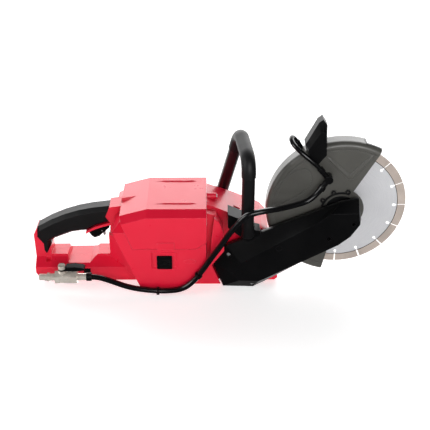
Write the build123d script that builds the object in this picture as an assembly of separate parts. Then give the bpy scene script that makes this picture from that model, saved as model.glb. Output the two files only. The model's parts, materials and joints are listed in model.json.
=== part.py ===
from build123d import *
from math import cos, sin, radians, tan
import os

# Battery cut-off (rescue) saw with a 230 mm segmented blade.
# Everything is laid out from the blade spindle: X forwards, Y towards the far side, Z up.
# At export the assembly is moved so that the origin is the bottom centre of its box.

# ---- driving dimensions (mm) ----
BLADE_R = 115.0            # 230 mm blade
BLADE_T = 2.0              # steel core thickness
SEGMENT_DEPTH = 14.0
SEGMENT_T = 2.8
SEGMENT_COUNT = 16
SLOT_W = 2.6               # slots between the segments
KEYHOLE_R = 2.6
KEYHOLE_AT = 95.0          # radius at which the slots end in a round hole
ARBOR_R = 11.1             # 22.2 mm arbor hole
FLOOR_Z = -150.0           # the surface the saw stands on
MID_Y = 19.0               # centre plane of the body and rear handle
BODY_NEAR = -52.0
BODY_FAR = 90.0
BODY_FRONT = -230.9
LID_FRONT = -230.3
WALL = 3.0
SEAM = 0.6                 # gap between parts that open
MOTOR_X = -153.0
MOTOR_Z = -102.4
MOTOR_PULLEY_R = 10.0
SPINDLE_PULLEY_R = 15.0    # spindle turns at 2/3 of the motor speed
BELT_T = 2.2
BELT_GAP = 0.3
COVER_FACE = -50.0         # outer face of the belt cover
COVER_EDGE = -33.0         # where the bevel of the cover ends
COVER_BACK = -30.0         # joint between cover and arm casting
ARM_BACK = -18.5
GUARD_R = 127.5
GUARD_HALF = 17.5          # half width of the guard
GUARD_T = 2.2
GUARD_FROM = 61.0          # degrees from +X towards +Z
GUARD_TO = 258.0
NOSE_R = 27.2              # arm nose that carries the guard
RUN_FIT = 0.3
HANDLE_R = 12.0            # front handle tube
HOSE_R = 5.0
CROSS_HOSE_R = 4.0
VALVE_Y = -40.0
VALVE_Z = -122.0
VALVE_X = -485.0            # ball and lever axis
HINGE_Y = 94.5             # lid hinge line
HINGE_Z = -57.0
PIN_R = 2.0
KNUCKLE_R = 4.5
ORIGIN = (-211.0, 9.725, FLOOR_Z)   # bottom centre of the whole saw

nodes = {}


# ---- helpers ----
def plate(points, y0, y1):
    """Prism of an X-Z outline between two Y planes."""
    face = make_face(Polyline([(x, y0, z) for x, z in points], close=True))
    return extrude(face, amount=y1 - y0, dir=(0, 1, 0))


def bar(points, x0, x1):
    """Prism of a Y-Z outline between two X planes."""
    face = make_face(Polyline([(x0, y, z) for y, z in points], close=True))
    return extrude(face, amount=x1 - x0, dir=(1, 0, 0))


def block(x0, x1, y0, y1, z0, z1):
    return Pos((x0 + x1) / 2, (y0 + y1) / 2, (z0 + z1) / 2) * Box(x1 - x0, y1 - y0, z1 - z0)


def rod_y(x, z, r, y0, y1):
    return Pos(x, (y0 + y1) / 2, z) * Rot(90, 0, 0) * Cylinder(r, y1 - y0)


def rod_x(y, z, r, x0, x1):
    return Pos((x0 + x1) / 2, y, z) * Rot(0, 90, 0) * Cylinder(r, x1 - x0)


def rod_z(x, y, r, z0, z1):
    return Pos(x, y, (z0 + z1) / 2) * Cylinder(r, z1 - z0)


def ring_y(x, z, r_in, r_out, y0, y1):
    return rod_y(x, z, r_out, y0, y1) - rod_y(x, z, r_in, y0 - 1, y1 + 1)


def rod_between(a, b, r):
    """Round bar from point a to point b."""
    way = Vector(*b) - Vector(*a)
    return extrude(Plane(a, z_dir=way) * Circle(r), amount=way.length)


def ruled(sections):
    return loft([make_face(Polyline(s, close=True)) for s in sections], ruled=True)


def hose(points, radius, bore, share=0.45):
    """Hose along straight runs joined by tangent arcs; prints its arc radii."""
    pts = [Vector(*p) for p in points]
    radii = []
    for before, at, after in zip(pts, pts[1:], pts[2:]):
        turn = (at - before).get_angle(after - at)
        shorter = min((at - before).length, (after - at).length)
        radii.append(share * shorter / tan(radians(turn / 2)))
    print("hose arc radii", [round(r, 1) for r in radii])
    path = FilletPolyline(*pts, radius=radii)
    section = Plane(path @ 0, z_dir=path % 0) * (Circle(radius) - Circle(bore))
    return sweep(section, path=path)


def joined(items):
    """One compound of separate solids."""
    solids = []
    for item in items:
        solids.extend(item.solids())
    return Compound(children=solids)


def screw_y(x, z, r, head_y, length, sign):
    """Socket screw along Y; sign is the way its shank points."""
    head = rod_y(x, z, r, min(head_y, head_y + 2.4 * sign), max(head_y, head_y + 2.4 * sign))
    shank_end = head_y + length * sign
    shank = rod_y(x, z, r * 0.5, min(head_y, shank_end), max(head_y, shank_end))
    socket = rod_y(x, z, r * 0.5, min(head_y, head_y + 1.4 * sign), max(head_y, head_y + 1.4 * sign))
    return head + shank - socket


# ---- blade and spindle ----
def build_blade():
    root_r = BLADE_R - SEGMENT_DEPTH
    core = rod_y(0, 0, root_r, -BLADE_T / 2, BLADE_T / 2)
    core -= rod_y(0, 0, ARBOR_R, -BLADE_T, BLADE_T)
    ring = ring_y(0, 0, root_r, BLADE_R, -SEGMENT_T / 2, SEGMENT_T / 2)
    for i in range(SEGMENT_COUNT):
        turn = Rot(0, -360.0 / SEGMENT_COUNT * i, 0)
        slot = block(KEYHOLE_AT, BLADE_R + 1, -3, 3, -SLOT_W / 2, SLOT_W / 2)
        core -= turn * (slot + rod_y(KEYHOLE_AT, 0, KEYHOLE_R, -3, 3))
        ring -= turn * slot
    nodes["blade_core"] = core
    nodes["blade_segments"] = joined([ring & block(-BLADE_R - 2, BLADE_R + 2, -2, 2, -BLADE_R - 2, BLADE_R + 2)])


def build_spindle():
    half = BLADE_T / 2
    shaft = rod_y(0, 0, 7.5, -38.5, -7) + rod_y(0, 0, ARBOR_R, -7, 4.5)
    shaft -= rod_y(0, 0, 5.0, -8, 5)
    nodes["spindle"] = shaft
    nodes["inner_flange"] = ring_y(0, 0, ARBOR_R, 25, -7, -half) - ring_y(0, 0, 13, 20, -2.2, 0)
    outer = ring_y(0, 0, ARBOR_R, 25, half, 4.5) + ring_y(0, 0, 5.0, 25, 4.5, 7)
    nodes["outer_flange"] = outer
    washer = ring_y(0, 0, 5.0, 11, 7, 8.6)
    head = Pos(0, 12.1, 0) * Rot(90, 0, 0) * extrude(RegularPolygon(9.5, 6), amount=3.5, both=True)
    bolt = head + rod_y(0, 0, 5.0, -8, 9)
    nodes["arbor_bolt"] = joined([bolt - rod_y(0, 0, 4, 12.6, 16), washer])
    pulley = ring_y(0, 0, 7.5, SPINDLE_PULLEY_R, -37.5, -27.5)
    for i in range(6):
        pulley -= rod_y(11.2 * cos(radians(60 * i)), 11.2 * sin(radians(60 * i)), 2.0, -40, -26)
    nodes["spindle_pulley"] = pulley
    bearings = [ring_y(0, 0, 7.56, 17.5, y, y + 7) for y in (-25.5, -17.0)]
    nodes["spindle_bearings"] = joined(bearings)


# ---- belt arm ----
FACE = [(-183.7, -108.6), (-170.7, -88.1), (-38.6, -4.6), (-21, 10.1), (27, 11.2), (30, -11),
        (15.5, -34.5), (-4, -51.5), (-122, -117.5), (-138.5, -126.3), (-173.6, -125)]
OUTLINE = [(-221.2, -93.5), (-196.3, -62), (-16.7, 16.9), (-3.4, 22.8), (27, 30), (34.4, -10),
           (18.4, -38), (-0.6, -57.3), (-128, -138.5), (-147.8, -149.6), (-201.4, -147.8)]


def shrunk(points, by):
    face = make_face(Polyline([(x, z) for x, z in points], close=True))
    inner = offset(face, amount=-by, kind=Kind.INTERSECTION)
    return [(v.X, v.Y) for v in inner.face().outer_wire().order_edges().vertices()]


def inset(points, by):
    """Outline moved inwards by a distance, keeping one corner for each corner."""
    area = sum(ax * bz - bx * az for (ax, az), (bx, bz) in zip(points, points[1:] + points[:1]))
    side = 1 if area > 0 else -1
    moved = []
    for (ax, az), (bx, bz), (cx, cz) in zip(points[-1:] + points[:-1], points, points[1:] + points[:1]):
        u = Vector(bx - ax, bz - az).normalized()
        v = Vector(cx - bx, cz - bz).normalized()
        mitre = side * by / (1 + u.dot(v))
        moved.append((bx - (u.Y + v.Y) * mitre, bz + (u.X + v.X) * mitre))
    return moved


def belt_loop(motor_r, spindle_r):
    """Hull of a circle on the motor axis and one on the spindle axis."""
    edges = list((Pos(MOTOR_X, MOTOR_Z) * Circle(motor_r)).edges())
    edges += list(Circle(spindle_r).edges())
    return Plane.XZ * make_hull(edges)


def build_arm():
    skin = ruled([[(x, COVER_FACE, z) for x, z in FACE], [(x, COVER_EDGE, z) for x, z in OUTLINE]])
    skin += plate(OUTLINE, COVER_EDGE, COVER_BACK)
    room = belt_loop(13, 18)
    cover = skin - Pos(0, -39.5, 0) * extrude(room, amount=30, dir=(0, 1, 0))
    holes = [(-191.7, -78, 3.4), (-150, -140, 3.4), (-76.9, -93.3, 3.4), (-21, -38.8, 3.4), (19.5, -10, 3.0)]
    screws = []
    for x, z, r in holes:
        cover -= rod_y(x, z, r + 0.6, COVER_FACE - 1, -36)
        cover -= rod_y(x, z, r * 0.5, -40, COVER_BACK + 1)
        cover -= rod_y(x, z, r, -40, -33.6)
        screws.append(screw_y(x, z, r, -36, 14, 1))
    plug = rod_y(-105.6, -58, 5.2, COVER_FACE + 0.4, -46.5)
    cover -= rod_y(-105.6, -58, 5.2, COVER_FACE - 1, -44)
    nodes["belt_cover"] = cover
    nodes["tension_plug"] = plug

    casting = plate(OUTLINE, COVER_BACK, COVER_BACK + 4)
    inset = [(-214, -92), (-193, -67), (-18, 11), (-3, 17.5), (22, 23.5), (29, -9), (14, -34), (-4, -53),
             (-128, -132), (-148, -144), (-198, -142)]
    casting += plate(inset, COVER_BACK + 4, ARM_BACK)
    pocket = belt_loop(13, 18)
    casting -= Pos(0, -40, 0) * extrude(pocket, amount=13, dir=(0, 1, 0))
    casting += rod_y(0, 0, NOSE_R, ARM_BACK, -9.2)
    casting -= rod_y(0, 0, 17.5, COVER_BACK - 1, -9.9)
    casting -= rod_y(0, 0, 10.0, COVER_BACK - 1, -5)
    casting -= rod_y(MOTOR_X, MOTOR_Z, 15.0, COVER_BACK - 1, ARM_BACK + 1)
    for x, z, r in holes:
        casting -= rod_y(x, z, r * 0.5, COVER_BACK - 1, ARM_BACK + 1)
    nodes["arm_casting"] = casting
    screws.append(rod_x(12, 12, 3.4, -213, -211.4) - block(-212.2, -211, 9, 15, 11.6, 12.4))
    nodes["cover_screws"] = joined(screws)

    inner = BELT_GAP
    outer = BELT_GAP + BELT_T
    belt = extrude(belt_loop(MOTOR_PULLEY_R + outer, SPINDLE_PULLEY_R + outer), amount=9, dir=(0, 1, 0))
    hollow = extrude(belt_loop(MOTOR_PULLEY_R + inner, SPINDLE_PULLEY_R + inner), amount=13, dir=(0, 1, 0))
    nodes["drive_belt"] = Pos(0, -37, 0) * (belt - Pos(0, -1, 0) * hollow)


# ---- motor ----
def build_motor():
    nodes["motor_shaft"] = rod_y(MOTOR_X, MOTOR_Z, 6, -38.5, 70)
    nodes["motor_pulley"] = ring_y(MOTOR_X, MOTOR_Z, 6, MOTOR_PULLEY_R, -37.5, -27.5)
    rotor = ring_y(MOTOR_X, MOTOR_Z, 6, 20, 4, 44)
    nodes["motor_rotor"] = rotor
    stator = ring_y(MOTOR_X, MOTOR_Z, 20.6, 35.5, 2, 46)
    for i in range(6):
        slot = Pos(MOTOR_X, 0, MOTOR_Z) * Rot(0, 60 * i, 0) * block(21, 31, 0, 50, -2, 2)
        stator -= slot
    nodes["motor_stator"] = stator
    fan = ring_y(MOTOR_X, MOTOR_Z, 6, 32, 50, 52)
    for i in range(12):
        fan += Pos(MOTOR_X, 0, MOTOR_Z) * Rot(0, 30 * i, 0) * block(12, 32, 52, 60, -0.8, 0.8)
    nodes["motor_fan"] = fan + ring_y(MOTOR_X, MOTOR_Z, 6, 10, 52, 60)
    bearings = [ring_y(MOTOR_X, MOTOR_Z, 6.06, 15, y, y + 8) for y in (-16, 62)]
    nodes["motor_bearings"] = joined(bearings)

    outline = [(-230, 13), (-196, -2), (-134, -36), (-122, -50), (-106, -122), (-103, -141.5),
               (-264.5, -141.5), (-264.5, -139.5), (-230, -84.4)]
    housing = plate(outline, ARM_BACK + 0.3, 72)
    near = [(-230, 5), (-214, 1), (-202, -22), (-200, -64), (-223.5, -96.5), (-206, -141.5),
            (-264.5, -141.5), (-264.5, -139.5), (-230, -84.4)]
    housing += plate(near, -36, ARM_BACK + 0.3)
    bulge = [(-217, 1), (-208, -8), (-202, -26), (-200, -64), (-222.5, -95.5), (-224.5, -84), (-223, -50),
             (-220, -20)]
    housing += plate(bulge, -47, -35)
    housing += rod_x(12, 12, 5.5, -230, -213)
    housing -= block(-183, -169, 4, 16, -16, 10) - plate([(-190, -8), (-160, -23), (-160, -60), (-190, -60)], 0, 20)
    slope = [(72, 20), (72, -30), (52, 20)]
    housing -= bar(slope, -240, -90)
    housing -= rod_y(MOTOR_X, MOTOR_Z, 35.5, -6, 73)
    housing -= rod_y(MOTOR_X, MOTOR_Z, 15, -16.2, 0)
    housing -= rod_y(MOTOR_X, MOTOR_Z, 10, -30, 0)
    housing -= block(-227, -204, -12, 62, -76, -14)
    nodes["motor_housing"] = housing
    cap = rod_y(MOTOR_X, MOTOR_Z, 41, 72.3, 79)
    cap -= rod_y(MOTOR_X, MOTOR_Z, 31, 70, 77)
    cap += ring_y(MOTOR_X, MOTOR_Z, 15, 19, 62, 78)
    cap += rod_y(MOTOR_X, MOTOR_Z, 19, 76, 79)
    for i in range(-3, 4):
        if i != 0:
            cap -= block(MOTOR_X - 25, MOTOR_X + 25, 70, 82, MOTOR_Z + 8 * i - 1.6, MOTOR_Z + 8 * i + 1.6)
    cap += ring_y(MOTOR_X, MOTOR_Z, 15, 19, 62, 79)
    nodes["motor_end_cap"] = cap - rod_y(MOTOR_X, MOTOR_Z, 15, 61, 76)
    nodes["controller_board"] = joined([block(-222, -219, -8, 58, -72, -18)])
    nodes["front_foot"] = plate([(-112, -141.8), (-104, -141.8), (-104, -146), (-108, FLOOR_Z), (-140, FLOOR_Z),
                                 (-140, -141.8)], -12, 66)


# ---- battery body and lid ----
LID_SIDE = [(-378.4, 40), (-378.4, 1.4), (-357.6, HINGE_Z), (-248.6, HINGE_Z), (LID_FRONT - 0.5, -44.4),
            (LID_FRONT, -43.9), (LID_FRONT, 40)]


def body_section(x, drop, inset):
    near = BODY_NEAR + inset
    far = BODY_FAR - inset
    low = HINGE_Z - 30
    return [(x, near, low), (x, near, 5 - drop - inset * 0.6), (x, near + 15 - inset * 0.4, 14.3 - drop - inset),
            (x, far - 15 + inset * 0.4, 14.3 - drop - inset), (x, far, 5 - drop - inset * 0.6), (x, far, low)]


def build_body():
    full = ruled([body_section(-378.4, 12.9, 0), body_section(-332, 0, 0), body_section(LID_FRONT, 0, 0)])
    room = ruled([body_section(-372, 11.2, WALL), body_section(-332, 0, WALL), body_section(-234, 0, WALL)])
    lid = (full & plate(LID_SIDE, -60, 100)) - room
    for y, side in ((-19.0, -1.0), (61.0, 1.0)):
        foot = [(-322, y, 14.2), (-258, y - 3.5 * side, 14.2), (-246, y, 14.2), (-258, y + 3.5 * side, 14.2)]
        crest = [(-300, y, 15.9), (-262, y - 0.6 * side, 15.9), (-256, y, 15.9), (-262, y + 0.6 * side, 15.9)]
        lid += ruled([foot, crest])
    tongue = [(-378.4, 10, 1.0), (-378.4, 28, 1.0), (-378.4, 24, 7.0), (-378.4, 14, 7.0)]
    tip = [(-354, 18, 7.4), (-354, 20, 7.4), (-354, 19.5, 8.6), (-354, 18.5, 8.6)]
    lid += ruled([tongue, tip])
    lid += block(-315, -286, BODY_NEAR - 1.0, BODY_NEAR + 1, HINGE_Z, -44)
    for x0 in (-345.0, -275.0):
        lid += rod_x(HINGE_Y, HINGE_Z, KNUCKLE_R, x0, x0 + 20)
        lid += block(x0, x0 + 20, BODY_FAR - 1, HINGE_Y, HINGE_Z, HINGE_Z + KNUCKLE_R)
    lid -= rod_x(HINGE_Y, HINGE_Z, PIN_R + 0.06, -400, -200)
    nodes["lid"] = lid

    side = [(-390.6, -23.3), (-378.9, -10.5), (-374.4, -10.5), (-358, HINGE_Z - SEAM), (-248.3, HINGE_Z - SEAM),
            (BODY_FRONT, -44.6 - SEAM), (BODY_FRONT, -83.7), (-265.5, -141), (-346, -141)]
    body = plate(side, BODY_NEAR, BODY_FAR)
    body -= bar([(-52, -10), (-37, -10), (-52, -24)], -400, -360)
    body -= bar([(90, -10), (75, -10), (90, -24)], -400, -360)
    body -= plate([(-352, 20), (-352, -116), (-256, -116), (-244.5, -98), (-237, -84), (-237, 20)], -42, 80)
    body -= plate([(-366, 20), (-366, -36), (-349, -70), (-237, -70), (-237, 20)], -42, 80)
    window = [(-327, -62.3), (-280.5, -62.3), (-280.5, -98.1), (-327, -98.1)]
    body -= ruled([[(x, BODY_NEAR, z) for x, z in window], [(x, BODY_NEAR + 2.5, z) for x, z in inset(window, 3.0)]])
    body += Pos(-259.5, BODY_NEAR + 0.5, -82.5) * Rot(90, 0, 0) * extrude(Ellipse(10.5, 4.5), amount=1.1)
    body -= block(-316.8, -290.3, BODY_NEAR, -43, -98.8, -72.0)
    for x0 in (-324.5, -254.5):
        body += rod_x(HINGE_Y, HINGE_Z, KNUCKLE_R, x0, x0 + 18)
        body += block(x0, x0 + 18, BODY_FAR - 1, HINGE_Y, HINGE_Z - KNUCKLE_R, HINGE_Z - SEAM)
    body -= rod_x(HINGE_Y, HINGE_Z, PIN_R, -400, -200)
    nodes["body_housing"] = body
    nodes["lid_hinge_pin"] = rod_x(HINGE_Y, HINGE_Z, PIN_R, -347, -236)

    button = block(-316.2, -290.9, BODY_NEAR + 0.4, -47.6, -98.1, -72.7)
    for i in range(4):
        z = -95.5 + 4.6 * i
        button += block(-313, -294, BODY_NEAR - 0.6, BODY_NEAR + 0.5, z, z + 2.2)
    nodes["latch_button"] = button
    spring = Helix(1.9, 3.6, 2.6, center=(0, 0, 0))
    wire = sweep(Plane(spring @ 0, z_dir=spring % 0) * Circle(0.4), path=spring)
    nodes["latch_spring"] = Pos(-303.5, -47.15, -85.4) * Rot(-90, 0, 0) * wire

    pack = block(-348, -252, -22, 60, -106, -20)
    pack = chamfer(pack.edges().filter_by(Axis.Z), 5)
    pack = chamfer(pack.faces().sort_by(Axis.Z)[-1].edges(), 2.5)
    pack += block(-330, -259, -10, 48, -20, -12)
    nodes["battery_pack"] = pack
    terminal = block(-330, -270, -8, 46, -115.9, -106.2)
    nodes["terminal_block"] = terminal
    strips = [block(-334, -324, -44, 82, FLOOR_Z, -141.2), block(-290, -278, -44, 82, FLOOR_Z, -141.2)]
    nodes["body_feet"] = joined(strips)


# ---- rear handle ----
HANDLE_OUTER = [(-527, -146), (-537, -130), (-537, -60), (-531, -48), (-505, -33), (-480, -22), (-455, -14),
                (-430, -9), (-400, -5), (-379.4, -2), (-379.4, -10.2), (-391.4, -23.3), (-349.6, -133),
                (-346.8, -141.6), (-346.8, -146)]
HANDLE_GAP = [(-400, -41), (-416, -45.5), (-427, -49.5), (-436.5, -54), (-443, -58.5), (-457, -56), (-470, -58),
              (-486, -64.5), (-502, -71), (-508.5, -76), (-509, -101), (-405, -101), (-399, -88)]
GRIP_SIDE = [(-540, -75), (-537, -60), (-531, -48), (-505, -33), (-480, -22), (-455, -14), (-430, -9), (-385, -3.5),
             (-385, -30), (-400, -36), (-427, -44.5), (-444, -54.5), (-457, -56), (-470, -58), (-486, -64.5),
             (-502, -71), (-509, -76), (-509, -108), (-535, -108)]
GRIP_ZONE = [(-531, -64), (-530, -46), (-527, -30), (-527, 20), (-395.5, 20), (-395.5, 5), (-408, -24), (-400, -36),
             (-427, -44.5), (-444, -54.5), (-446, -65), (-509.2, -84), (-517.4, -99), (-521, -92.5), (-521, -78.7)]
GRIP_CORE = [(-534, -62), (-533, -52), (-505, -39), (-455, -20), (-400, -11), (-400, -35), (-427, -43),
             (-444, -50), (-457, -50), (-470, -52), (-486, -58), (-505, -66), (-520, -72)]
GRIP_NEAR = 1.0
GRIP_FAR = 37.0
TRIGGER_PIN = (-406.0, -40.2)
LEVER_PIN = (-417.0, -58.5)


def build_rear_handle():
    post = plate(HANDLE_OUTER, 2, 36) - plate(HANDLE_GAP, -5, 50)
    rail_section = [(-16, -146), (54, -146), (54, -118), (30, -101), (8, -101), (-16, -118)]
    rail_side = [(-527, -146), (-537, -130), (-537, -101), (-362.2, -101), (-349.8, -133), (-346.8, -141.6),
                 (-346.8, -146)]
    rail = bar(rail_section, -537, -340) & plate(rail_side, -20, 60)
    rail -= plate([(-519, -90), (-506, -90), (-511, -112), (-519, -112)], -20, 1)
    wing = ruled([[(-404, 2, -60), (-404, 36, -60), (-404, 36, -110), (-404, 2, -110)],
                  [(-350, -30, -60), (-350, 68, -60), (-350, 68, -140), (-350, -30, -140)]])
    wing &= plate([(-404, -40), (-386.6, -40), (-351.3, -133), (-351.3, -141), (-404, -141)], -60, 100)
    zone = plate(GRIP_ZONE, -5, 45)
    core = plate(GRIP_CORE, 8, 30)
    pocket = block(-447, -401, 11, 27, -64, -29)
    step = plate([(-481, -100), (-478, -113), (-440, -113), (-424, -100)], -20, 60)
    whole = post + rail + wing - step - zone + core - pocket
    whole -= rod_y(TRIGGER_PIN[0], TRIGGER_PIN[1], 1.5, 5, 33)
    whole -= block(-448, -410, 12, 26, -31, -26) + block(-451, -439, -17, -15.2, -133, -121)
    nodes["handle_shell_near"] = whole & block(-600, -300, -60, MID_Y, -200, 50)
    nodes["handle_shell_far"] = whole & block(-600, -300, MID_Y, 100, -200, 50)

    narrow = inset(GRIP_SIDE, 6.0)
    grip = plate(GRIP_SIDE, GRIP_NEAR + 8, GRIP_FAR - 8)
    grip += ruled([[(x, GRIP_NEAR, z) for x, z in narrow], [(x, GRIP_NEAR + 8, z) for x, z in GRIP_SIDE]])
    grip += ruled([[(x, GRIP_FAR - 8, z) for x, z in GRIP_SIDE], [(x, GRIP_FAR, z) for x, z in narrow]])
    grip = (grip & zone) - core - pocket
    nodes["handle_grip"] = grip

    nodes["trigger_switch"] = block(-448, -410, 12, 26, -31, -26)
    trigger = plate([(-432, -38), (-441, -44), (-441, -60), (-436, -68.5), (-431, -72.5), (-422, -69.5),
                     (-417, -64), (-404, -52.5), (-402.5, -48), (-402.5, -37), (-412, -35)], 11.5, 26.5)
    trigger -= rod_y(TRIGGER_PIN[0], TRIGGER_PIN[1], 1.56, 5, 33)
    trigger -= block(-424, -408, 15.5, 22.5, -75, -54)
    trigger -= rod_y(LEVER_PIN[0], LEVER_PIN[1], 1.2, 5, 33)
    nodes["trigger"] = trigger
    nodes["trigger_pin"] = rod_y(TRIGGER_PIN[0], TRIGGER_PIN[1], 1.5, 5, 33)
    lever = plate([(-420, -56.5), (-415, -55.5), (-411.5, -62), (-411.5, -69.5), (-414.5, -70.5), (-416, -65),
                   (-419.5, -61)], 16, 22)
    nodes["lock_off_lever"] = lever - rod_y(LEVER_PIN[0], LEVER_PIN[1], 1.26, 5, 33)
    nodes["lever_pin"] = rod_y(LEVER_PIN[0], LEVER_PIN[1], 1.2, 12, 26)
    feet = [block(-525, -512, y, y + 14, FLOOR_Z, -146) for y in (-12, 36)]
    nodes["rear_feet"] = joined(feet)
    nodes["status_window"] = block(-451, -439, -16.6, -15.2, -133, -121)


# ---- front handle ----
TUBE_PATH = [(-161, -52, -30), (-161, -52, 112), (-172, 36, 122), (-203, 82, -20)]


def build_front_handle():
    pts = [Vector(*p) for p in TUBE_PATH]
    path = FilletPolyline(*pts, radius=[24, 26])
    section = Plane(path @ 0, z_dir=path % 0) * (Circle(HANDLE_R - 1.2) - Circle(HANDLE_R - 3.5))
    tube = sweep(section, path=path)
    sleeve_path = FilletPolyline(pts[0] * 0.2 + pts[1] * 0.8, pts[1], pts[2], pts[2] * 0.75 + pts[3] * 0.25,
                                 radius=[24, 26])
    ring = Circle(HANDLE_R) - Circle(HANDLE_R - 1.2)
    sleeve = sweep(Plane(sleeve_path @ 0, z_dir=sleeve_path % 0) * ring, path=sleeve_path)
    nodes["front_handle_tube"] = tube
    nodes["front_grip"] = sleeve
    gusset = [(-194, 12), (-176, 4), (-149, -10), (-149, -39), (-160, -43.2), (-194, -14)]
    near = plate(gusset, -52, -19) & plate([(-200, 20), (-130, 20), (-130, -34), (-144, -44.4), (-200, -72)], -70, 0)
    near -= rod_z(-161, -52, HANDLE_R - 1.2, -30, 60)
    near += plate([(-149, -22), (-139, -25), (-137, -33.5), (-149, -39)], -46, -22)
    nodes["handle_bracket_near"] = near
    far = block(-215, -191, 72.4, 92, -48, -13)
    far -= rod_between(TUBE_PATH[2], TUBE_PATH[3], HANDLE_R - 1.2)
    nodes["handle_bracket_far"] = far


# ---- guard ----
def build_guard():
    outer = make_face(Polyline([(NOSE_R + 40, -GUARD_HALF), (GUARD_R, -GUARD_HALF), (GUARD_R, GUARD_HALF),
                                (NOSE_R + 40, GUARD_HALF)], close=True))
    rim = [v for v in outer.vertices() if v.X > GUARD_R - 1]
    outer = fillet(rim, 9)
    inner = make_face(Polyline([(NOSE_R + 30, -GUARD_HALF + GUARD_T), (GUARD_R - GUARD_T, -GUARD_HALF + GUARD_T),
                                (GUARD_R - GUARD_T, GUARD_HALF - GUARD_T),
                                (NOSE_R + 30, GUARD_HALF - GUARD_T)], close=True))
    rim = [v for v in inner.vertices() if v.X > GUARD_R - GUARD_T - 1]
    inner = fillet(rim, 9 - GUARD_T)
    profile = outer - inner
    profile += Pos((NOSE_R + RUN_FIT + 70) / 2, -GUARD_HALF + GUARD_T / 2) * Rectangle(70 - NOSE_R - RUN_FIT, GUARD_T)
    start = Rot(0, -GUARD_TO, 0) * profile
    shell = revolve(start, Axis.Y, GUARD_TO - GUARD_FROM)
    shell += ring_y(0, 0, NOSE_R + RUN_FIT, 40, -GUARD_HALF, -GUARD_HALF + GUARD_T)
    nodes["guard_shell"] = shell
    lip = Rot(0, -74, 0) * (Pos(GUARD_R + 0.9, 0) * Rectangle(1.6, 2 * GUARD_HALF - 14))
    lip = revolve(lip, Axis.Y, 74 - GUARD_FROM - 0.5)
    nodes["guard_lip"] = lip
    section = [(-45, 86), (-60.5, 92), (-66, 121), (-46, 160.5), (-39, 166), (-32, 156), (-30.3, 109)]
    low = [(-46, 89), (-58, 96), (-62, 118), (-44, 148), (-40, 150), (-34, 146), (-31.5, 108)]
    knob = ruled([[(x, -24, z) for x, z in low], [(x, -10, z) for x, z in section]])
    knob += ruled([[(x, -10, z) for x, z in section], [(x, 10, z) for x, z in section]])
    knob += ruled([[(x, 10, z) for x, z in section], [(x, 24, z) for x, z in low]])
    knob -= rod_y(0, 0, GUARD_R + 0.1, -GUARD_HALF - 0.1, GUARD_HALF + 0.1)
    nodes["guard_knob"] = knob
    tee = rod_y(-26, 66, 7, -34, -GUARD_HALF)
    tee += rod_between((-26, -28, 66), (-34, -28, 76), 4.6) + rod_between((-26, -28, 66), (-34, -29.3, 54), 5.0)
    nodes["tee_fitting"] = tee
    nozzle = rod_between((-71, 9, 105.5), (-76, 9, 113.5), 4.8) - rod_y(0, 0, GUARD_R + 0.1, -20, 20)
    nodes["nozzle"] = nozzle
    route = [(-34, -28, 76), (-43, -28, 87.25), (-57, -28.5, 100), (-72, -25, 112), (-84, -17, 121), (-89.5, -5, 126.5),
             (-87.5, 5, 129), (-81.3, 9, 122), (-76, 9, 113.5)]
    nodes["cross_hose"] = hose(route, CROSS_HOSE_R, CROSS_HOSE_R - 1.4)


# ---- water kit ----
HOSE_ROUTE = [(-443, -40, -122), (-425, -40, -122), (-400, -46, -127), (-368, -56, -134), (-332, -59.5, -138.2),
              (-300, -59.5, -140), (-272, -59.5, -136), (-253, -59.5, -119), (-236, -60, -93), (-220, -60.5, -66),
              (-204, -66.5, -37), (-190, -71, -10), (-174, -73.5, 12)]
GUARD_HOSE_ROUTE = [(-174, -73.5, 12), (-165.8003, -74.7812, 23.2747), (-148, -73.7, 28.5), (-126, -67, 29),
                    (-102, -55.5, 26.5), (-80, -43.5, 25.5), (-60, -35, 27), (-44, -30.9, 39), (-34, -29.3, 54)]


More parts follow.
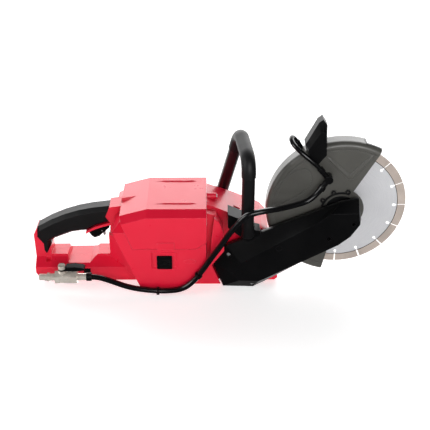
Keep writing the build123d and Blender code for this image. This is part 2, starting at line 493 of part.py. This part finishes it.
def build_water_kit():
    y, z = VALVE_Y, VALVE_Z
    plug = rod_x(y, z, 6.0, -526, -512) + rod_x(y, z, 8.0, -512, -508) + rod_x(y, z, 6.5, -508, -498)
    nodes["quick_connect_plug"] = plug - rod_x(y, z, 3.5, -530, -490)
    body = rod_x(y, z, 10.8, -498, -459)
    body += Pos(-494, y, z) * Rot(0, 90, 0) * extrude(RegularPolygon(12.6, 6), amount=4, both=True)
    body += Pos(-464, y, z) * Rot(0, 90, 0) * extrude(RegularPolygon(12.6, 6), amount=5, both=True)
    body += rod_z(VALVE_X, y, 6.8, z, z + 15)
    body -= rod_x(y, z, 3.5, -500, -450)
    body -= Pos(VALVE_X, y, z) * Sphere(7.3)
    body -= rod_z(VALVE_X, y, 2.3, z, z + 20)
    nodes["valve_body"] = body
    ball = Pos(VALVE_X, y, z) * Sphere(7.0) - rod_x(y, z, 3.5, -500, -450)
    stem = rod_z(VALVE_X, y, 2.2, z + 6, z + 19) + rod_z(VALVE_X, y, 6.4, z + 18, z + 25)
    nodes["valve_ball"] = ball + stem - block(VALVE_X - 7, VALVE_X + 7, y - 0.9, y + 0.9, z + 23.4, z + 26)
    lever = plate([(VALVE_X + 7.4, z + 15.6), (VALVE_X + 7.4, z + 23.5), (-462, z + 25), (-446, z + 22.5),
                   (-443.5, z + 18), (-452, z + 16.6), (-466, z + 15.6)], y - 6.5, y + 6.5)
    lever = chamfer(lever.edges().filter_by(Axis.Y).sort_by(Axis.X)[-3:], 1.2)
    lever += rod_z(VALVE_X, y, 6.6, z + 15.6, z + 18) + block(VALVE_X, VALVE_X + 9, y - 6.5, y + 6.5, z + 15.6, z + 18)
    nodes["valve_lever"] = lever - rod_z(VALVE_X, y, 2.2, z + 10, z + 20)
    nodes["hose_barb"] = rod_x(y, z, 6.6, -459, -443) - rod_x(y, z, 3.5, -470, -440)
    clamp = block(-483, -471, y, y + 13, z - 14, z - 9) + block(-483, -471, y + 9.6, y + 13, z - 14, z + 8)
    clamp += block(-483, -471, y + 12, -16, z - 8, z + 8)
    nodes["valve_clamp"] = clamp - rod_x(y, z, 10.8, -500, -450)
    nodes["water_hose"] = hose(HOSE_ROUTE, HOSE_R, HOSE_R - 1.8)
    nodes["guard_hose"] = hose(GUARD_HOSE_ROUTE, HOSE_R, HOSE_R - 1.8)
    ties = [rod_x(y, z, 7.4, -443, -434) - rod_x(y, z, HOSE_R + 0.3, -445, -430)]
    for a, b in ((HOSE_ROUTE[4], HOSE_ROUTE[5]), (HOSE_ROUTE[7], HOSE_ROUTE[8])):
        mid = (Vector(*a) + Vector(*b)) / 2
        ring = Circle(HOSE_R + 1.8) - Circle(HOSE_R + 0.4)
        band = extrude(Plane(mid, z_dir=Vector(*b) - Vector(*a)) * ring, amount=2, both=True)
        head = block(mid.X - 2.6, mid.X + 2.6, mid.Y - 9, mid.Y - HOSE_R - 0.9, mid.Z - 2.5, mid.Z + 2.5)
        ties.append(band + head)
    nodes["hose_ties"] = joined(ties)


build_blade()
build_spindle()
build_arm()
build_motor()
build_body()
build_rear_handle()
build_front_handle()
build_guard()
build_water_kit()

os.makedirs("parts", exist_ok=True)
for name, shape in nodes.items():
    export_step(Pos(-ORIGIN[0], -ORIGIN[1], -ORIGIN[2]) * shape, f"parts/{name}.step")
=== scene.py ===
import json
from math import cos, pi, radians, sin

import bmesh
import bpy
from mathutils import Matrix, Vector


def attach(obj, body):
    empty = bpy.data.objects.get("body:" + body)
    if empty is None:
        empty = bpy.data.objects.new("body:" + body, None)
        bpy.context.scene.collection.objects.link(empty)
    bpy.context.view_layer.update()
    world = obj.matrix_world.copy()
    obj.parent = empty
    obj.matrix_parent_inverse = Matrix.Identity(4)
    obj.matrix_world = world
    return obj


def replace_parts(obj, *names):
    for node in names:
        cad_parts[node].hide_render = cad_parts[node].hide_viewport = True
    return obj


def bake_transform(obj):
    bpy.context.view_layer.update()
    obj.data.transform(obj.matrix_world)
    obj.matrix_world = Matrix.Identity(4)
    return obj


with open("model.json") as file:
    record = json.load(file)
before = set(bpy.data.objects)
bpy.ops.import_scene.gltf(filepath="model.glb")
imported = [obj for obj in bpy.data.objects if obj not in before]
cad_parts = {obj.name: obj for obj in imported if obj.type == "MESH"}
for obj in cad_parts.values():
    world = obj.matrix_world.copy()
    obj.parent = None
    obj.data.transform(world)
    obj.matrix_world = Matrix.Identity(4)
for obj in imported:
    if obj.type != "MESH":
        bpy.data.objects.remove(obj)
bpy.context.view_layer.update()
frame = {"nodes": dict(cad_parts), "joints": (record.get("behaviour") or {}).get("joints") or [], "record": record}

# The design is laid out from the blade spindle, in millimetres: X forwards, Y away, Z up.
SPINDLE = Vector(next(j for j in frame["joints"] if j["name"] == "blade_spin")["pos_m"])
MM = 0.001
GUARD_FACE = -17.5        # Y of the guard's near face
WATER_HOSE_R = 5.0
CROSS_HOSE_R = 4.0
CAMERA_AT = (-226.2, -1229.6, 719.0)
CAMERA_DOWN = 31.0        # degrees below the horizon
CAMERA_TURN = 0.5
CAMERA_LENS = 68.65


def at(x, y, z):
    """A design point in millimetres as a point in the frame, in metres."""
    return SPINDLE + Vector((x, y, z)) * MM


# ---------------------------------------------------------------- materials
def new_material(name):
    mat = bpy.data.materials.new(name)
    mat.use_nodes = True
    tree = mat.node_tree
    shader = tree.nodes["Principled BSDF"]
    return mat, tree, shader


def noise(tree, scale, detail=4.0, rough=0.55, stretch=None):
    coords = tree.nodes.new("ShaderNodeTexCoord")
    tex = tree.nodes.new("ShaderNodeTexNoise")
    tex.inputs["Scale"].default_value = scale
    tex.inputs["Detail"].default_value = detail
    tex.inputs["Roughness"].default_value = rough
    if stretch:
        mapping = tree.nodes.new("ShaderNodeMapping")
        mapping.inputs["Scale"].default_value = stretch
        tree.links.new(coords.outputs["Object"], mapping.inputs["Vector"])
        tree.links.new(mapping.outputs["Vector"], tex.inputs["Vector"])
    else:
        tree.links.new(coords.outputs["Object"], tex.inputs["Vector"])
    return tex.outputs["Fac"]


def ramp(tree, value, stops):
    node = tree.nodes.new("ShaderNodeValToRGB")
    while len(node.color_ramp.elements) < len(stops):
        node.color_ramp.elements.new(0.5)
    for element, (place, colour) in zip(node.color_ramp.elements, stops):
        element.position = place
        element.color = (*colour, 1.0)
    tree.links.new(value, node.inputs["Fac"])
    return node.outputs["Color"]


def grey(v):
    return (v, v, v)


def mixed(tree, kind, factor, a, b):
    node = tree.nodes.new("ShaderNodeMix")
    node.data_type = "RGBA"
    node.blend_type = kind
    if isinstance(factor, float):
        node.inputs[0].default_value = factor
    else:
        tree.links.new(factor, node.inputs[0])
    for socket, value in ((node.inputs[6], a), (node.inputs[7], b)):
        if isinstance(value, tuple):
            socket.default_value = (*value, 1.0)
        else:
            tree.links.new(value, socket)
    return node.outputs[2]


def add_bump(tree, shader, height, strength, distance):
    node = tree.nodes.new("ShaderNodeBump")
    node.inputs["Strength"].default_value = strength
    node.inputs["Distance"].default_value = distance
    tree.links.new(height, node.inputs["Height"])
    before = shader.inputs["Normal"]
    if before.is_linked:
        tree.links.new(before.links[0].from_socket, node.inputs["Normal"])
    tree.links.new(node.outputs["Normal"], before)


def edge_mask(tree, rounded):
    """White in a thin line along the edges, where the rounded normal leaves the face's own."""
    geo = tree.nodes.new("ShaderNodeNewGeometry")
    dot = tree.nodes.new("ShaderNodeVectorMath")
    dot.operation = "DOT_PRODUCT"
    tree.links.new(rounded, dot.inputs[0])
    tree.links.new(geo.outputs["Normal"], dot.inputs[1])
    return ramp(tree, dot.outputs["Value"], [(0.90, grey(1)), (0.985, grey(0))])


def plastic(name, colour, dark, rough, grain_scale=2600.0, grain=0.25, edge_wear_and_highlight=None, shine=0.5):
    """Moulded plastic or rubber: fine grain, faint mottling and lighter rounded edges, partly wear and partly a
    painted highlight.
    """
    mat, tree, shader = new_material(name)
    mottle = ramp(tree, noise(tree, 14.0, 5.0), [(0.35, dark), (0.65, colour)])
    rounded = tree.nodes.new("ShaderNodeBevel")
    rounded.samples = 4
    rounded.inputs["Radius"].default_value = 0.0008
    base = mottle
    # The lighter edge colour is partly wear and partly a painted highlight along the rounded edges.
    if edge_wear_and_highlight:
        base = mixed(tree, "MIX", edge_mask(tree, rounded.outputs["Normal"]), mottle, edge_wear_and_highlight)
    tree.links.new(base, shader.inputs["Base Color"])
    spread = ramp(tree, noise(tree, 45.0, 6.0),
                  [(0.3, grey(max(rough - 0.03, 0.05))), (0.7, grey(rough + 0.03))])
    tree.links.new(spread, shader.inputs["Roughness"])
    tree.links.new(rounded.outputs["Normal"], shader.inputs["Normal"])
    add_bump(tree, shader, noise(tree, grain_scale, 2.0), grain, 0.00012)
    add_bump(tree, shader, noise(tree, 60.0, 3.0), 0.02, 0.0002)
    shader.inputs["Specular IOR Level"].default_value = shine
    return mat


def metal(name, colour, dark, rough, stretch=(1.0, 1.0, 1.0), scale=900.0, metallic=1.0, scratch=0.15):
    """Machined or plated metal: drawn marks, smudges and small scratches."""
    mat, tree, shader = new_material(name)
    marks = noise(tree, scale, 3.0, 0.6, stretch)
    smudge = noise(tree, 22.0, 6.0)
    base = mixed(tree, "MIX", ramp(tree, smudge, [(0.35, grey(0)), (0.7, grey(1))]), dark, colour)
    base = mixed(tree, "MULTIPLY", 0.5, base, ramp(tree, marks, [(0.3, grey(0.72)), (0.7, grey(1.0))]))
    tree.links.new(base, shader.inputs["Base Color"])
    shader.inputs["Metallic"].default_value = metallic
    spread = ramp(tree, marks, [(0.25, grey(rough * 0.75)), (0.75, grey(min(rough * 1.3, 1.0)))])
    tree.links.new(spread, shader.inputs["Roughness"])
    add_bump(tree, shader, marks, scratch, 0.00008)
    return mat


def blade_metal(name):
    """Ground disc: fine arcs about the spindle under a matt haze."""
    mat, tree, shader = new_material(name)
    coords = tree.nodes.new("ShaderNodeTexCoord")
    centre = tree.nodes.new("ShaderNodeVectorMath")
    centre.operation = "SUBTRACT"
    centre.inputs[1].default_value = SPINDLE
    tree.links.new(coords.outputs["Object"], centre.inputs[0])
    split = tree.nodes.new("ShaderNodeSeparateXYZ")
    tree.links.new(centre.outputs[0], split.inputs[0])
    angle = tree.nodes.new("ShaderNodeMath")
    angle.operation = "ARCTAN2"
    tree.links.new(split.outputs["Z"], angle.inputs[0])
    tree.links.new(split.outputs["X"], angle.inputs[1])
    length = tree.nodes.new("ShaderNodeVectorMath")
    length.operation = "LENGTH"
    tree.links.new(centre.outputs[0], length.inputs[0])
    polar = tree.nodes.new("ShaderNodeCombineXYZ")
    tree.links.new(angle.outputs[0], polar.inputs["X"])
    stretched = tree.nodes.new("ShaderNodeMath")
    stretched.operation = "MULTIPLY"
    stretched.inputs[1].default_value = 900.0
    tree.links.new(length.outputs["Value"], stretched.inputs[0])
    tree.links.new(stretched.outputs[0], polar.inputs["Y"])
    rings = tree.nodes.new("ShaderNodeTexNoise")
    rings.inputs["Scale"].default_value = 3.0
    rings.inputs["Detail"].default_value = 4.0
    tree.links.new(polar.outputs[0], rings.inputs["Vector"])
    speck = noise(tree, 1500.0, 2.0)
    tint = ramp(tree, rings.outputs["Fac"], [(0.3, (0.74, 0.74, 0.77)), (0.7, (0.86, 0.86, 0.88))])
    tint = mixed(tree, "MULTIPLY", 0.5, tint, ramp(tree, speck, [(0.3, grey(0.8)), (0.7, grey(1.0))]))
    tree.links.new(tint, shader.inputs["Base Color"])
    shader.inputs["Metallic"].default_value = 0.30
    shader.inputs["Roughness"].default_value = 0.42
    add_bump(tree, shader, rings.outputs["Fac"], 0.12, 0.0001)
    add_bump(tree, shader, speck, 0.2, 0.00006)
    return mat


RED = (0.77, 0.008, 0.038)
RED_DARK = (0.75, 0.007, 0.035)
BLACK = (0.0035, 0.0035, 0.0040)
BLACK_DARK = (0.0020, 0.0020, 0.0023)

# Each plastic's lighter edge colour is partly wear and partly a painted highlight.
MATERIALS = {
    "red_plastic": plastic("red plastic", RED, RED_DARK, 0.30, edge_wear_and_highlight=(0.86, 0.07, 0.12), grain=0.15),
    "black_plastic": plastic("black plastic", BLACK, BLACK_DARK, 0.40,
                             edge_wear_and_highlight=(0.016, 0.016, 0.018), shine=0.15),
    "rubber": plastic("black rubber", (0.0075, 0.0075, 0.008), (0.0045, 0.0045, 0.005), 0.5, 1900.0, 0.5,
                      edge_wear_and_highlight=(0.02, 0.02, 0.022), shine=0.35),
    "guard_steel": plastic("guard powder coat", (0.090, 0.088, 0.078), (0.074, 0.072, 0.064), 0.34,
                           1500.0, 0.25, edge_wear_and_highlight=(0.15, 0.145, 0.14), shine=0.6),
    "casting": plastic("black casting", (0.006, 0.006, 0.0066), (0.0035, 0.0035, 0.004), 0.33, 1200.0, 0.3,
                       edge_wear_and_highlight=(0.03, 0.028, 0.028), shine=0.5),
    "steel": metal("zinc plated steel", (0.66, 0.66, 0.67), (0.48, 0.48, 0.49), 0.32, metallic=0.6),
    "blade_steel": blade_metal("ground blade steel"),
    "segment": metal("sintered segment", (0.62, 0.53, 0.47), (0.46, 0.39, 0.345), 0.7, scale=2200.0,
                     metallic=0.1, scratch=0.7),
    "nickel": metal("nickel plate", (0.92, 0.87, 0.79), (0.74, 0.66, 0.57), 0.22,
                    scale=500.0, metallic=0.45),
    "copper": metal("copper windings", (0.60, 0.28, 0.14), (0.42, 0.18, 0.09), 0.4, (1, 30, 1)),
    "board": plastic("circuit board", (0.02, 0.15, 0.06), (0.015, 0.11, 0.05), 0.3),
    "window": plastic("dark lens", (0.004, 0.004, 0.005), (0.003, 0.003, 0.004), 0.12, grain=0.05),
    "hose": plastic("hose rubber", (0.0035, 0.0035, 0.004), (0.002, 0.002, 0.0024), 0.2,
                    1400.0, 0.1, shine=0.6),
}
SLOT_OF = {s["node"]: s["material_slot"] for s in frame["record"]["subparts"]}


def paint_nodes():
    for name, obj in frame["nodes"].items():
        mat = MATERIALS[SLOT_OF[name]]
        if not obj.material_slots:
            obj.data.materials.append(mat)
        for slot in obj.material_slots:
            slot.material = mat


def finish_piece(obj, body, slot):
    """Gives a new piece its material, its slot and the body it rides on."""
    obj.data.materials.clear()
    obj.data.materials.append(MATERIALS[slot])
    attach(obj, body)
    return obj


# ---------------------------------------------------------------- mesh tools
def mesh_object(name, bm, smooth=True):
    mesh = bpy.data.meshes.new(name)
    bmesh.ops.recalc_face_normals(bm, faces=bm.faces)
    bm.to_mesh(mesh)
    bm.free()
    for poly in mesh.polygons:
        poly.use_smooth = smooth
    obj = bpy.data.objects.new(name, mesh)
    bpy.context.scene.collection.objects.link(obj)
    return obj


def curve_tube(name, points, radius, order=3, resolution=10):
    """Round tube along a NURBS spline with these control points (frame metres)."""
    curve = bpy.data.curves.new(name, "CURVE")
    curve.dimensions = "3D"
    curve.bevel_depth = radius
    curve.bevel_resolution = 6
    curve.resolution_u = resolution
    curve.use_fill_caps = True
    spline = curve.splines.new("NURBS")
    spline.points.add(len(points) - 1)
    for point, place in zip(spline.points, points):
        point.co = (*place, 1.0)
    spline.order_u = order
    spline.use_endpoint_u = True
    obj = bpy.data.objects.new(name, curve)
    bpy.context.scene.collection.objects.link(obj)
    return obj


def tube_mesh(name, points, radius):
    """The same tube as a mesh."""
    source = curve_tube(name + "_source", points, radius, resolution=14)
    depsgraph = bpy.context.evaluated_depsgraph_get()
    mesh = bpy.data.meshes.new_from_object(source.evaluated_get(depsgraph))
    bpy.data.objects.remove(source)
    mesh.name = name
    for poly in mesh.polygons:
        poly.use_smooth = True
    obj = bpy.data.objects.new(name, mesh)
    bpy.context.scene.collection.objects.link(obj)
    return obj


# ---------------------------------------------------------------- hoses
WATER_ROUTE = [(-443, -40, -122), (-425, -40, -122), (-400, -46, -127), (-368, -56, -134),
               (-332, -59.5, -138.2), (-300, -59.5, -140), (-272, -59.5, -136), (-253, -59.5, -119),
               (-236, -60, -93), (-220, -60.5, -66), (-204, -66.5, -37), (-190, -71, -10),
               (-174, -73.5, 12)]
GUARD_ROUTE = [(-174, -73.5, 12), (-165.8003, -74.7812, 23.2747), (-148, -73.7, 28.5), (-126, -67, 29),
               (-102, -55.5, 26.5), (-80, -43.5, 25.5), (-60, -35, 27), (-44, -30.9, 39), (-34, -29.3, 54)]
CROSS_ROUTE = [(-34, -28, 76), (-43, -28, 87.25), (-57, -28.5, 100), (-72, -25, 112), (-84, -17, 121),
               (-89.5, -5, 126.5), (-87.5, 5, 129), (-81.3, 9, 122), (-76, 9, 113.5)]


def build_hoses():
    water = curve_tube("water_hose_smooth", [at(*p) for p in WATER_ROUTE], WATER_HOSE_R * MM)
    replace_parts(finish_piece(water, "root", "hose"), "water_hose")
    cross = curve_tube("cross_hose_smooth", [at(*p) for p in CROSS_ROUTE], CROSS_HOSE_R * MM)
    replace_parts(finish_piece(cross, "guard", "hose"), "cross_hose")
    span = tube_mesh("guard_hose_smooth", [at(*p) for p in GUARD_ROUTE], WATER_HOSE_R * MM)
    span.data.materials.append(MATERIALS["hose"])
    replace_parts(span, "guard_hose")
    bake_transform(span)


def build_latch_spring():
    """The spring behind the latch button, as a wire."""
    turns, length, radius, wire, back = 1.9, 3.6, 2.6, 0.36, -47.15
    steps = 48
    points = [at(-303.5 + radius * cos(2 * pi * turns * i / steps), back + length * i / steps,
                 -85.4 + radius * sin(2 * pi * turns * i / steps)) for i in range(steps + 1)]
    spring = tube_mesh("latch_spring_wire", points, wire * MM)
    spring.data.materials.append(MATERIALS["steel"])
    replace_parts(spring, "latch_spring")
    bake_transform(spring)


# ---------------------------------------------------------------- details
def rib(bm, a, b, half, low_y, high_y):
    """Tapered raised rib from a to b (X, Z) on a face at low_y, its crest at high_y."""
    a, b = Vector((a[0], 0, a[1])), Vector((b[0], 0, b[1]))
    way = (b - a).normalized()
    side = Vector((-way.z, 0, way.x)) * half
    base = [a - way * half, a + side, b + side * 0.6, b + way * half, b - side * 0.6, a - side]
    crest_a, crest_b = a + way * half * 1.2, b - way * half * 1.2
    low = [bm.verts.new(at(p.x, low_y, p.z)) for p in base]
    top = [bm.verts.new(at(p.x, high_y, p.z)) for p in (crest_a, crest_b)]
    bm.faces.new((low[0], low[1], top[0]))
    bm.faces.new((low[1], low[2], top[1], top[0]))
    bm.faces.new((low[2], low[3], top[1]))
    bm.faces.new((low[3], low[4], top[1]))
    bm.faces.new((low[4], low[5], top[0], top[1]))
    bm.faces.new((low[5], low[0], top[0]))
    bm.faces.new(low[::-1])


def ring_piece(name, body, slot, r_in, r_out, y0, y1, centre=(0.0, 0.0), start=0.0, end=360.0, steps=96):
    """Flat ring or arc about the Y direction, from angle start to end (degrees from +X towards +Z)."""
    bm = bmesh.new()
    rows = []
    closed = end - start >= 359.9
    count = steps if closed else steps + 1
    for i in range(count):
        t = radians(start + (end - start) * i / steps)
        row = [bm.verts.new(at(centre[0] + r * cos(t), y, centre[1] + r * sin(t)))
               for r, y in ((r_in, y1), (r_in, y0), (r_out, y0), (r_out, y1))]
        rows.append(row)
    for i in range(count if closed else count - 1):
        a, b = rows[i], rows[(i + 1) % count]
        for k in range(4):
            bm.faces.new((a[k], a[(k + 1) % 4], b[(k + 1) % 4], b[k]))
    if not closed:
        bm.faces.new(rows[0])
        bm.faces.new(rows[-1][::-1])
    obj = mesh_object(name, bm, smooth=False)
    return finish_piece(obj, body, slot)


def strip(name, body, slot, points, width, y0, y1, closed=False):
    """Raised strip that follows an X-Z line between two Y planes."""
    bm = bmesh.new()
    pts = [Vector((x, 0, z)) for x, z in points]
    rows = []
    for i, p in enumerate(pts):
        before = pts[i - 1] if i or closed else p
        after = pts[(i + 1) % len(pts)] if i + 1 < len(pts) or closed else p
        way = (after - before).normalized()
        side = Vector((-way.z, 0, way.x)) * width / 2
        rows.append([bm.verts.new(at((p + s * side).x, y, (p + s * side).z))
                     for s, y in ((1, y1), (1, y0), (-1, y0), (-1, y1))])
    for i in range(len(rows) if closed else len(rows) - 1):
        a, b = rows[i], rows[(i + 1) % len(rows)]
        for k in range(4):
            bm.faces.new((a[k], a[(k + 1) % 4], b[(k + 1) % 4], b[k]))
    if not closed:
        bm.faces.new(rows[0])
        bm.faces.new(rows[-1][::-1])
    return finish_piece(mesh_object(name, bm, smooth=False), body, slot)


def build_guard_details():
    bm = bmesh.new()
    rib(bm, (12, 62), (-26, 98), 5.0, GUARD_FACE, GUARD_FACE - 1.4)
    rib(bm, (12, 62), (46, 103), 5.5, GUARD_FACE, GUARD_FACE - 1.4)
    finish_piece(mesh_object("guard_ribs", bm, smooth=False), "guard", "guard_steel")
    arc = [(-112, 8), (-116, 24), (-114, 40), (-105, 56), (-92, 68), (-78, 76), (-64, 80)]
    back = [(-56, 74), (-52, 62), (-54, 46), (-66, 34), (-84, 22), (-102, 12)]
    strip("guard_recess_edge", "guard", "guard_steel", arc + back, 2.2, -18.2, -17.4, closed=True)
    ring_piece("guard_rim_band", "guard", "guard_steel", 113.5, 116.0, -18.3, -17.4, start=62.0, end=257.0)
    ring_piece("guard_hub_ring", "guard", "casting", 31.0, 35.0, -18.3, -17.4, start=66.0, end=168.0)
    for angle in (74.0, 112.0, 148.0):
        t = radians(angle)
        ring_piece("guard_hub_tab", "guard", "casting", 2.0, 4.4, -20.6, -17.4,
                   centre=(37.0 * cos(t), 37.0 * sin(t)), steps=24)


def build_blade_details():
    for side in (-1, 1):
        y0, y1 = sorted((side * 1.38, side * 1.46))
        ring_piece("segment_weld", "blade", "window", 100.6, 101.5, y0, y1, steps=160)


def build_hose_details():
    for name, a, b, r in (("ferrule_top", (-36.5, -28, 79.1), (-42, -28, 86), 5.4),
                          ("ferrule_low", (-38.5, -30.2, 46.8), (-35, -29.5, 52.4), 6.4),
                          ("ferrule_nozzle", (-79.4, 9, 119), (-76.6, 9, 114.4), 5.2)):
        tube = curve_tube(name, [at(*a), at(*b)], r * MM, order=2)
        finish_piece(tube, "guard", "hose")
    for i in range(3):
        x = -441.6 + 3.0 * i
        tube = curve_tube("clamp_rib", [at(x, -40, -122), at(x + 1.2, -40, -122)], 7.9 * MM, order=2)
        finish_piece(tube, "root", "hose")


# ---------------------------------------------------------------- stage
def build_stage():
    bm = bmesh.new()
    bmesh.ops.create_grid(bm, x_segments=1, y_segments=1, size=6.0)
    floor = mesh_object("floor", bm)
    mat, tree, shader = new_material("white sweep")
    shader.inputs["Base Color"].default_value = (0.90, 0.90, 0.90, 1.0)
    shader.inputs["Roughness"].default_value = 0.95
    shader.inputs["Specular IOR Level"].default_value = 0.0
    shader.inputs["Emission Color"].default_value = (1.0, 1.0, 1.0, 1.0)
    shader.inputs["Emission Strength"].default_value = 0.55
    floor.data.materials.append(mat)
    floor.visible_glossy = False

    world = bpy.data.worlds.new("studio")
    bpy.context.scene.world = world
    world.use_nodes = True
    tree = world.node_tree
    back = tree.nodes["Background"]
    coords = tree.nodes.new("ShaderNodeTexCoord")
    split = tree.nodes.new("ShaderNodeSeparateXYZ")
    tree.links.new(coords.outputs["Generated"], split.inputs[0])
    shade = ramp(tree, split.outputs["Y"], [(0.0, grey(0.02)), (0.35, grey(0.03)), (0.75, grey(1.0))])
    tree.links.new(shade, back.inputs["Color"])
    back.inputs["Strength"].default_value = 2.3


def area_light(name, place, target, size, power):
    data = bpy.data.lights.new(name, "AREA")
    data.shape = "RECTANGLE"
    data.size, data.size_y = size
    data.energy = power
    obj = bpy.data.objects.new(name, data)
    obj.location = place
    obj.rotation_euler = (Vector(target) - Vector(place)).to_track_quat("-Z", "Y").to_euler()
    bpy.context.scene.collection.objects.link(obj)


def build_lights_and_camera():
    aim = (0.0, 0.0, 0.1)
    area_light("back light", (0.0, 1.8, 1.2), aim, (3.4, 1.6), 30.0)
    area_light("left light", (-2.0, -0.9, 1.0), aim, (1.0, 1.4), 20.0)
    area_light("front light", (0.7, -2.6, 1.1), aim, (1.8, 1.2), 38.0)
    data = bpy.data.cameras.new("camera")
    data.lens = CAMERA_LENS
    data.sensor_width = 36.0
    camera = bpy.data.objects.new("camera", data)
    camera.location = at(*CAMERA_AT)
    camera.rotation_euler = (radians(90.0 - CAMERA_DOWN), 0.0, radians(-CAMERA_TURN))
    bpy.context.scene.collection.objects.link(camera)
    bpy.context.scene.camera = camera
    bpy.context.scene.view_settings.view_transform = "Standard"
    bpy.context.scene.view_settings.look = "None"


paint_nodes()
build_hoses()
build_latch_spring()
build_guard_details()
build_blade_details()
build_hose_details()
build_stage()
build_lights_and_camera()
